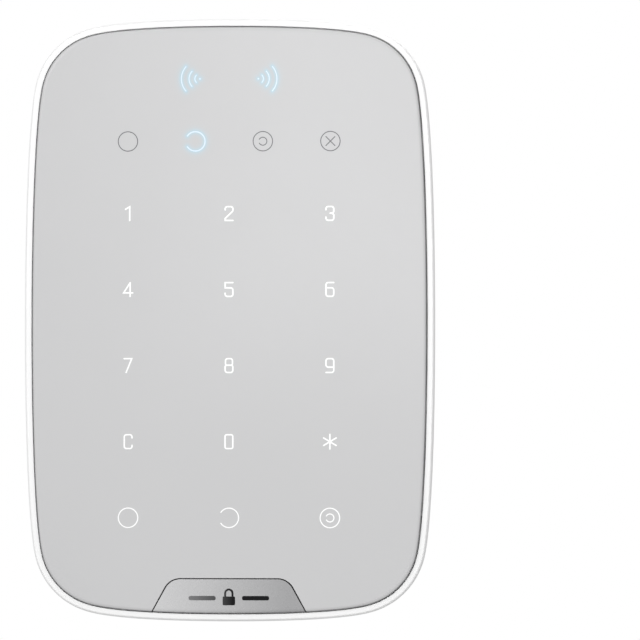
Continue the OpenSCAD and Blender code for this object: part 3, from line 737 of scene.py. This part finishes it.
def rim_rings():
    """The front frame's section, from its parting edge round the rim, the ledge and back."""
    low = PARTING + PARTING_CHAMFER
    depths = [low + (WIDEST - low) * k / TAPER_STEPS for k in range(TAPER_STEPS + 1)]
    depths += [WIDEST + 1, SHOULDER - 1, SHOULDER]
    depths += [SHOULDER + (RIM_TOP - SHOULDER) * math.sin(math.pi / 2 * k / RIM_STEPS)
               for k in range(1, RIM_STEPS + 1)]
    rings = [(skin(PARTING) + PARTING_CHAMFER, PARTING)] + [(skin(depth), depth) for depth in depths]
    rings += [(RIM_W - RIM_EDGE_R * (1 - math.sin(a)), RIM_TOP - RIM_EDGE_R * (1 - math.cos(a)))
              for a in (0, math.pi / 6, math.pi / 3, math.pi / 2)]
    ledge_top = PANEL_BACK - FILM_T
    ledge_in = WALL_T + LEDGE_W
    return rings + [(RIM_W, ledge_top), (ledge_in, ledge_top), (ledge_in, ledge_top - LEDGE_T),
                    (WALL_T, ledge_top - LEDGE_T), (WALL_T, PARTING)]


def make_rim():
    add_piece("rim_skin", outline_mesh("rim_skin", rim_rings(), closed_loop=True),
              "case_plastic", "front_frame")


# ---------------------------------------------------------------- inner pieces
class Box:
    """The box of one solid: its centre (x, z), its size and its depths, in millimetres."""

    def __init__(self, points):
        xs, ys, zs = zip(*points)
        self.at = ((min(xs) + max(xs)) / 2 / MM, (min(zs) + max(zs)) / 2 / MM)
        self.size = ((max(xs) - min(xs)) / MM, (max(zs) - min(zs)) / MM)
        self.back, self.front = -max(ys) / MM, -min(ys) / MM


def solids(node):
    """The boxes of a CAD node's separate solids, from left to right."""
    bm = bmesh.new()
    bm.from_mesh(NODES[node].data)
    bmesh.ops.remove_doubles(bm, verts=bm.verts, dist=0.001 * MM)
    left, boxes = set(bm.verts), []
    while left:
        found, frontier = set(), [left.pop()]
        while frontier:
            vert = frontier.pop()
            found.add(vert)
            for edge in vert.link_edges:
                other = edge.other_vert(vert)
                if other in left:
                    left.remove(other)
                    frontier.append(other)
        boxes.append(Box([v.co for v in found]))
    bm.free()
    return sorted(boxes, key=lambda b: (round(b.at[0], 1), round(b.at[1], 1)))


def make_chips(name, node, pin_pitch):
    """Flat packages with a row of bent pins on each side."""
    bodies, pins = Shapes(), Shapes()
    for box in solids(node):
        (x, z), (w, h) = box.at, box.size
        bodies.slab(box.at, (w - 1.2, h - 1.2), box.back, box.front - 0.08, 0.2, 0.1)
        count = int((w - 1.8) / pin_pitch)
        knee = box.front - 0.45
        for i in range(count + 1):
            along = (i - count / 2) * pin_pitch
            for side in (-1, 1):
                foot, shin = side * (w / 2 - 0.25), side * (w / 2 - 0.5)
                for out, length, low, high in ((foot, 0.5, box.front - 0.12, box.front),
                                               (shin, 0.3, knee, box.front - 0.06)):
                    pins.slab((x + out, z + along), (length, 0.24), low, high, edge=0.02)
                    pins.slab((x + along, z + out), (0.24, length), low, high, edge=0.02)
    bodies.piece(name + "_bodies", "chip", node)
    pins.piece(name + "_pins", "contact", node)


def make_leds():
    """Surface emitters: a white body with a domed lens between two terminals."""
    for node in ("key_leds", "status_leds"):
        bodies, ends = Shapes(), Shapes()
        for box in solids(node):
            (x, z), (w, h) = box.at, box.size
            bodies.slab(box.at, (w * 0.62, h), box.back, box.front - 0.2, 0.1, 0.05)
            lens = h * 0.4
            bodies.turned(box.at, [(lens, box.front - 0.25)] + [
                (lens * math.cos(a), box.front - 0.2 + 0.2 * math.sin(a))
                for a in (0, 0.4, 0.8, 1.2, 1.5)], 24)
            for side in (-1, 1):
                ends.slab((x + side * w * 0.4, z), (w * 0.2, h * 0.9), box.back, box.front - 0.3, 0.05, 0.04)
        bodies.piece(node + "_bodies", "led", node)
        ends.piece(node + "_terminals", "contact", node)


def make_passives():
    """Ceramic blocks with soldered ends."""
    bodies, ends = Shapes(), Shapes()
    for box in solids("board_passives"):
        (x, z), (w, h) = box.at, box.size
        bodies.slab(box.at, (w * 0.7, h * 0.92), box.back + 0.05, box.front - 0.02, 0.03, 0.04)
        for side in (-1, 1):
            ends.slab((x + side * w * 0.38, z), (w * 0.24, h), box.back, box.front, 0.05, 0.05)
    bodies.piece("passive_bodies", "ceramic", "board_passives")
    ends.piece("passive_ends", "contact", "board_passives")


def make_radio():
    """A small board with a shielding can on it, and solder lands along its sides."""
    base, can, lands = Shapes(), Shapes(), Shapes()
    for box in solids("radio_module"):
        (x, z), (w, h) = box.at, box.size
        deck = box.front - 0.8
        base.slab(box.at, (w - 0.1, h), deck, box.front, 0.3, 0.05)
        can.slab((x, z - 1.6), (w - 1.8, h - 5), box.back, deck, 1.0, 0.25)
        for i in range(9):
            along = z + (i - 4) * 1.7
            for side in (-1, 1):
                lands.slab((x + side * (w / 2 - 0.35), along), (0.7, 0.8), deck - 0.04, box.front, 0.1, 0.02)
    base.piece("radio_board", "board", "radio_module")
    can.piece("radio_can", "shield", "radio_module")
    lands.piece("radio_lands", "contact", "radio_module")


def make_switches():
    """Switches with a steel cover plate over a black body, and a round plunger."""
    for node in ("tamper_switch", "power_switch"):
        body, cover = Shapes(), Shapes()
        for box in solids(node):
            (x, z), (w, h) = box.at, box.size
            body.slab(box.at, (w, h), box.back + 0.3, box.front, 0.4, 0.1)
            body.turned(box.at, [(1.2, box.back + 0.35), (1.2, box.back + 0.05), (1.05, box.back)], 32)
            cover.slab(box.at, (w - 0.3, h - 0.3), box.back + 0.08, box.back + 0.32, 0.3, 0.05)
            for sx in (-1, 1):
                for sz in (-1, 1):
                    rivet = (x + sx * (w / 2 - 0.8), z + sz * (h / 2 - 0.8))
                    cover.turned(rivet, [(0.3, box.back + 0.1), (0.3, box.back + 0.03), (0.2, box.back)], 16)
        body.piece(node + "_body", "switch", node)
        cover.piece(node + "_cover", "contact", node)


def make_buzzer():
    """A round case with a sunk mouth and a groove near its edge."""
    case = Shapes()
    for box in solids("buzzer"):
        r, back, front = box.size[0] / 2, box.back, box.front
        case.turned(box.at, [
            (0.05, back + 1.4), (2.9, back + 1.4), (3.0, back + 0.2), (3.2, back), (7.2, back),
            (7.3, back + 0.12), (7.6, back + 0.12), (7.7, back), (r - 0.3, back + 0.02),
            (r, back + 0.35), (r, front - 0.2), (r - 0.2, front), (0.05, front)], 72)
    case.piece("buzzer_case", "buzzer", "buzzer")


def make_coil():
    """The reader's coil: turns of round wire, three in each strip."""
    turns = Shapes()
    boxes = sorted(solids("reader_coil"), key=lambda b: -b.size[0])
    for i, box in enumerate(boxes):
        for k in range(3):
            inset = 0.14 + 0.26 * k
            size = (box.size[0] - 2 * inset, box.size[1] - 2 * inset)
            turns.wire_loop(box.at, size, 5 - i - inset, (box.back + box.front) / 2, 0.125)
    turns.piece("coil_turns", "copper", "reader_coil")


def make_tamper_spring():
    """The plunger's spring, which the plunger presses against the switch; the coil is built at its CAD
    node's length.
    """
    box = solids("tamper_spring")[0]
    wire = 0.25
    spring = Shapes()
    spring.coil(box.at, box.size[0] / 2 - wire, box.back, box.front, 5, wire)
    piece = spring.piece("tamper_coil", "spring_steel", "tamper_spring")
    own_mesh(piece)


def make_cells():
    """Dry cells: a steel can in a printed sleeve, crimped at its ends, with its terminal at one end."""
    can = [(0.05, 0.0), (3.3, 0.0), (3.5, 0.2), (4.6, 0.22), (4.8, 0.05), (5.05, 0.1), (5.25, 0.45),
           (5.25, 43.0), (5.1, 43.4), (4.8, 43.55), (4.4, 43.5), (4.2, 43.2), (2.6, 43.2), (2.2, 43.45),
           (1.9, 43.6), (1.9, 44.3), (1.7, CELL_L), (0.05, CELL_L)]
    for i, box in enumerate(solids("battery_cells")):
        terminal_up = i % 2 == 0
        way = 1 if terminal_up else -1
        foot = box.at[1] - way * box.size[1] / 2
        cell = Shapes()
        cell.turned_upright(box.at[0], (box.back + box.front) / 2, [(r, foot + way * t) for r, t in can])
        cell.piece(f"cell_{i + 1}", "cell", "battery_cells", CELL_SLEEVES[terminal_up])


def facet_smoother(degrees):
    """A modifier group that shades a mesh smoothly wherever its edges turn by less than the angle."""
    group = bpy.data.node_groups.new("smooth_facets", "GeometryNodeTree")
    for way in ("INPUT", "OUTPUT"):
        group.interface.new_socket("Geometry", in_out=way, socket_type="NodeSocketGeometry")
    start, end = group.nodes.new("NodeGroupInput"), group.nodes.new("NodeGroupOutput")
    angle = group.nodes.new("GeometryNodeInputMeshEdgeAngle")
    sharp = group.nodes.new("FunctionNodeCompare")
    sharp.operation = "GREATER_THAN"
    sharp.inputs["B"].default_value = math.radians(degrees)
    normals = group.nodes.new("GeometryNodeSetMeshNormal")
    normals.mode = "SHARPNESS"
    normals.inputs["Remove Custom"].default_value = True
    group.links.new(start.outputs[0], normals.inputs["Mesh"])
    group.links.new(angle.outputs[0], sharp.inputs["A"])
    group.links.new(sharp.outputs[0], normals.inputs["Edge Sharpness"])
    group.links.new(normals.outputs[0], end.inputs[0])
    return group


def dress_cad_nodes():
    """Gives each CAD node the material of its slot, and smooth shading."""
    smoother = facet_smoother(CAD_SMOOTH_BELOW)
    for part in frame["record"]["subparts"]:
        node = NODES[part["node"]]
        for slot in node.material_slots:
            slot.material = MATERIALS[part["material_slot"]]
        mod = node.modifiers.new("smooth_facets", "NODES")
        mod.node_group = smoother
    NODES["retaining_screw"].material_slots[0].material = screw_material("screw_upright", 2)
    NODES["rear_shell"].material_slots[0].material = moulded_plastic(
        "case_back_plastic", CASE_COLOUR, 0.48, 0.4, 0.015, 0.012, edge=0)


make_panel_piece("panel_skin", BADGE_GAP, "DIFFERENCE", "panel_gloss", "touch_panel")
make_panel_piece("badge_skin", 0, "INTERSECT", "badge_gloss", "badge_plate")
make_rim()
make_chips("controller", "controller_chip", 0.65)
make_chips("touch", "touch_chips", 0.5)
make_leds()
make_passives()
make_radio()
make_switches()
make_buzzer()
make_coil()
make_tamper_spring()
make_cells()
dress_cad_nodes()


# ---------------------------------------------------------------- stage, in metres
AMBIENT_FROM = (-0.85, -0.15, 0.5)      # the side that the light of the surroundings favours
AMBIENT_LOW = 0.4
AMBIENT_HIGH = 0.95
FLOOR_Z = -0.95
FLOOR_RADIUS = 4.0
VIEW_AZIMUTH = 1.62     # degrees that the camera stands to the right of straight ahead
VIEW_DROP = 1.2         # degrees that it stands below
VIEW_DISTANCE = 0.9
VIEW_WIDTH = 0.1749     # width of the view at the panel's face
VIEW_RIGHT = 0.0249     # how far right of the object's centre the camera aims
VIEW_RAISE = -0.00016
SENSOR = 36


def add_light(name, location, aim, size, power):
    """A square area light that points at aim."""
    data = bpy.data.lights.new(name, "AREA")
    data.shape = "RECTANGLE"
    data.size = data.size_y = size
    data.energy = power
    light = bpy.data.objects.new(name, data)
    bpy.context.scene.collection.objects.link(light)
    light.location = location
    light.rotation_euler = (Vector(aim) - Vector(location)).to_track_quat("-Z", "Y").to_euler()
    return light


def make_floor():
    bm = bmesh.new()
    bmesh.ops.create_circle(bm, cap_ends=True, radius=FLOOR_RADIUS, segments=96)
    mesh = bpy.data.meshes.new("floor")
    bm.to_mesh(mesh)
    bm.free()
    floor = bpy.data.objects.new("floor", mesh)
    bpy.context.scene.collection.objects.link(floor)
    floor.location = (0, 0, FLOOR_Z)
    n = Nodes("floor")
    n.set(Base_Color=n.mix(n.span(n.noise(300, 2), 0.3, 0.7), (0.72, 0.72, 0.72), (0.76, 0.76, 0.76)),
          Roughness=0.7)
    mesh.materials.append(n.material)


def make_world():
    """A plain studio: white where the camera sees it, and as light brighter above and to the left."""
    world = bpy.data.worlds.new("studio")
    bpy.context.scene.world = world
    world.use_nodes = True
    nodes, links = world.node_tree.nodes, world.node_tree.links
    nodes.clear()
    out = nodes.new("ShaderNodeOutputWorld")
    mix = nodes.new("ShaderNodeMixShader")
    path = nodes.new("ShaderNodeLightPath")
    towards = nodes.new("ShaderNodeTexCoord")
    lean = nodes.new("ShaderNodeVectorMath")
    lean.operation = "DOT_PRODUCT"
    lean.inputs[1].default_value = AMBIENT_FROM
    level = nodes.new("ShaderNodeMapRange")
    for key, number in (("From Min", -1), ("From Max", 1),
                        ("To Min", AMBIENT_LOW), ("To Max", AMBIENT_HIGH)):
        level.inputs[key].default_value = number
    ambient = nodes.new("ShaderNodeBackground")
    ambient.inputs["Color"].default_value = (1, 1, 1, 1)
    backdrop = nodes.new("ShaderNodeBackground")
    backdrop.inputs["Color"].default_value = (1, 1, 1, 1)
    backdrop.inputs["Strength"].default_value = 1.0
    links.new(towards.outputs["Generated"], lean.inputs[0])
    links.new(lean.outputs["Value"], level.inputs["Value"])
    links.new(level.outputs["Result"], ambient.inputs["Strength"])
    links.new(path.outputs["Is Camera Ray"], mix.inputs["Fac"])
    links.new(ambient.outputs[0], mix.inputs[1])
    links.new(backdrop.outputs[0], mix.inputs[2])
    links.new(mix.outputs[0], out.inputs["Surface"])


def make_camera():
    data = bpy.data.cameras.new("camera")
    data.sensor_width = SENSOR
    data.lens = SENSOR * VIEW_DISTANCE / VIEW_WIDTH
    data.clip_start = 0.01
    camera = bpy.data.objects.new("camera", data)
    bpy.context.scene.collection.objects.link(camera)
    target = Vector((VIEW_RIGHT, -CASE_D * MM, VIEW_RAISE))
    azimuth, drop = math.radians(VIEW_AZIMUTH), math.radians(VIEW_DROP)
    away = Vector((math.sin(azimuth) * math.cos(drop), -math.cos(azimuth) * math.cos(drop),
                   -math.sin(drop)))
    camera.location = target + away * VIEW_DISTANCE
    camera.rotation_euler = (-away).to_track_quat("-Z", "Y").to_euler()
    bpy.context.scene.camera = camera


make_camera()
make_world()
make_floor()
add_light("key", (-0.6, -1.2, 0.5), aim=(0, 0, 0), size=0.6, power=1.4)
front = add_light("front", (0.05, -0.5, 0.1), aim=(0.05, 0, 0.1), size=0.2, power=1.25)
front.visible_glossy = False    # lights the panel evenly without showing in its gloss
add_light("back", (0.4, 1.2, 0.9), aim=(0, 0, 0), size=0.8, power=5)
bpy.context.scene.view_settings.view_transform = "Standard"
